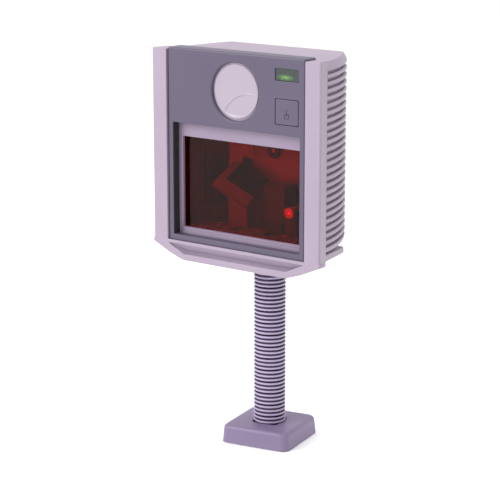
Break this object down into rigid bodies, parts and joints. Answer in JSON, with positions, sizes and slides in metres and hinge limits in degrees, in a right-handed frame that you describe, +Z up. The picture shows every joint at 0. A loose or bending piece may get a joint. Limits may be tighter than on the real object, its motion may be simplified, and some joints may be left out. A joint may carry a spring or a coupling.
{
  "type": "presentation barcode scanner",
  "caption": "Upright laser barcode scanner head with a red window and finned back, on a bendable ribbed mast with a square counter base.",
  "frame": {"origin": "the mast's axis on the counter, at the middle of the base's underside", "axes": "+X to the customer's right, -Y towards the customer, +Z up; the head is square to the axes and the base is turned 9.9 degrees about Z"},
  "size_m": [0.1508, 0.0774, 0.2979],
  "materials": {
    "shell": "fine moulded texture",
    "dark_shell": "fine moulded texture",
    "bezel": "satin",
    "tray": "satin",
    "badge": "satin",
    "mast": "satin",
    "rubber": "matt",
    "steel": "zinc plated",
    "screw": "zinc plated",
    "brass": "turned",
    "nylon": "smooth",
    "red_glass": "polished, red tinted",
    "smoked_lens": "polished",
    "led": "clear moulded",
    "board": "solder mask",
    "black_plastic": "satin",
    "bench": "satin",
    "motor_plate": "satin",
    "mirror": "first surface",
    "lens": "polished"
  },
  "bodies": {
    "base": {"base_cover": "dark_shell", "base_plate": "steel", "base_pad": "rubber", "mast_socket": "steel", "socket_set_screws": "screw", "mast_root": "mast"},
    "mast_link_01": {"mast_link_01": "mast"},
    "mast_link_02": {"mast_link_02": "mast"},
    "mast_link_03": {"mast_link_03": "mast"},
    "mast_link_04": {"mast_link_04": "mast"},
    "mast_link_05": {"mast_link_05": "mast"},
    "mast_link_06": {"mast_link_06": "mast"},
    "mast_link_07": {"mast_link_07": "mast"},
    "mast_link_08": {"mast_link_08": "mast"},
    "mast_link_09": {"mast_link_09": "mast"},
    "mast_link_10": {"mast_link_10": "mast"},
    "mast_link_11": {"mast_link_11": "mast"},
    "mast_link_12": {"mast_link_12": "mast", "mast_ferrule": "steel", "slip_washer": "nylon", "swivel_washer": "steel", "swivel_nut": "steel"},
    "head": {"front_housing": "shell", "rear_housing": "shell", "front_bezel": "bezel", "window_frame": "tray", "window_gasket": "rubber", "scan_window": "red_glass", "badge_disc": "badge", "led_lens": "smoked_lens", "status_leds": "led", "indicator_board": "board", "button_switch": "black_plastic", "board_screws": "screw", "beeper": "black_plastic", "optical_bench": "bench", "bench_screws": "screw", "collecting_mirror": "mirror", "mirror_holder": "bench", "motor_plate": "motor_plate", "spin_motor": "black_plastic", "laser_housing": "black_plastic", "laser_module": "brass", "laser_lens": "lens", "laser_bracket": "black_plastic", "pattern_mirror_left": "mirror", "pattern_mirror_centre": "mirror", "pattern_mirror_right": "mirror", "main_board": "board", "board_chips": "black_plastic", "cable_jack": "black_plastic", "housing_screws": "screw", "mount_plate": "steel", "mount_screws": "screw", "swivel_bush": "nylon"},
    "button": {"power_button": "bezel"},
    "scan_wheel": {"polygon_mirror": "mirror", "motor_shaft": "steel"}
  },
  "joints": [
    {"name": "mast_bend_01", "type": "hinge", "parent": "base", "child": "mast_link_01", "pos_m": [0, 0, 0.01938], "axis": [1, 0, 0], "range_deg": [-5, 5]},
    {"name": "mast_bend_02", "type": "hinge", "parent": "mast_link_01", "child": "mast_link_02", "pos_m": [0, 0, 0.0285], "axis": [0, 1, 0], "range_deg": [-5, 5]},
    {"name": "mast_bend_03", "type": "hinge", "parent": "mast_link_02", "child": "mast_link_03", "pos_m": [0, 0, 0.03762], "axis": [1, 0, 0], "range_deg": [-5, 5]},
    {"name": "mast_bend_04", "type": "hinge", "parent": "mast_link_03", "child": "mast_link_04", "pos_m": [0, 0, 0.04674], "axis": [0, 1, 0], "range_deg": [-5, 5]},
    {"name": "mast_bend_05", "type": "hinge", "parent": "mast_link_04", "child": "mast_link_05", "pos_m": [0, 0, 0.05586], "axis": [1, 0, 0], "range_deg": [-5, 5]},
    {"name": "mast_bend_06", "type": "hinge", "parent": "mast_link_05", "child": "mast_link_06", "pos_m": [0, 0, 0.06498], "axis": [0, 1, 0], "range_deg": [-5, 5]},
    {"name": "mast_bend_07", "type": "hinge", "parent": "mast_link_06", "child": "mast_link_07", "pos_m": [0, 0, 0.0741], "axis": [1, 0, 0], "range_deg": [-5, 5]},
    {"name": "mast_bend_08", "type": "hinge", "parent": "mast_link_07", "child": "mast_link_08", "pos_m": [0, 0, 0.08322], "axis": [0, 1, 0], "range_deg": [-5, 5]},
    {"name": "mast_bend_09", "type": "hinge", "parent": "mast_link_08", "child": "mast_link_09", "pos_m": [0, 0, 0.09234], "axis": [1, 0, 0], "range_deg": [-5, 5]},
    {"name": "mast_bend_10", "type": "hinge", "parent": "mast_link_09", "child": "mast_link_10", "pos_m": [0, 0, 0.10146], "axis": [0, 1, 0], "range_deg": [-5, 5]},
    {"name": "mast_bend_11", "type": "hinge", "parent": "mast_link_10", "child": "mast_link_11", "pos_m": [0, 0, 0.11058], "axis": [1, 0, 0], "range_deg": [-5, 5]},
    {"name": "mast_bend_12", "type": "hinge", "parent": "mast_link_11", "child": "mast_link_12", "pos_m": [0, 0, 0.1197], "axis": [0, 1, 0], "range_deg": [-5, 5]},
    {"name": "head_swivel", "type": "hinge", "parent": "mast_link_12", "child": "head", "pos_m": [0, 0, 0.145], "axis": [0, 0, 1], "range_deg": [-60, 60]},
    {"name": "button_press", "type": "slide", "parent": "head", "child": "button", "axis": [0, 1, 0], "range_m": [0, 0.0008], "stiffness_N_per_m": 1500, "springref_m": -0.0005},
    {"name": "wheel_spin", "type": "hinge", "parent": "head", "child": "scan_wheel", "pos_m": [0.003, 0.01, 0.2215], "axis": [0, 1, 0], "continuous": true}
  ],
  "couplings": [
    {"joint": "mast_bend_03", "follows": "mast_bend_01", "ratio": 1},
    {"joint": "mast_bend_04", "follows": "mast_bend_02", "ratio": 1},
    {"joint": "mast_bend_05", "follows": "mast_bend_01", "ratio": 1},
    {"joint": "mast_bend_06", "follows": "mast_bend_02", "ratio": 1},
    {"joint": "mast_bend_07", "follows": "mast_bend_01", "ratio": 1},
    {"joint": "mast_bend_08", "follows": "mast_bend_02", "ratio": 1},
    {"joint": "mast_bend_09", "follows": "mast_bend_01", "ratio": 1},
    {"joint": "mast_bend_10", "follows": "mast_bend_02", "ratio": 1},
    {"joint": "mast_bend_11", "follows": "mast_bend_01", "ratio": 1},
    {"joint": "mast_bend_12", "follows": "mast_bend_02", "ratio": 1}
  ]
}
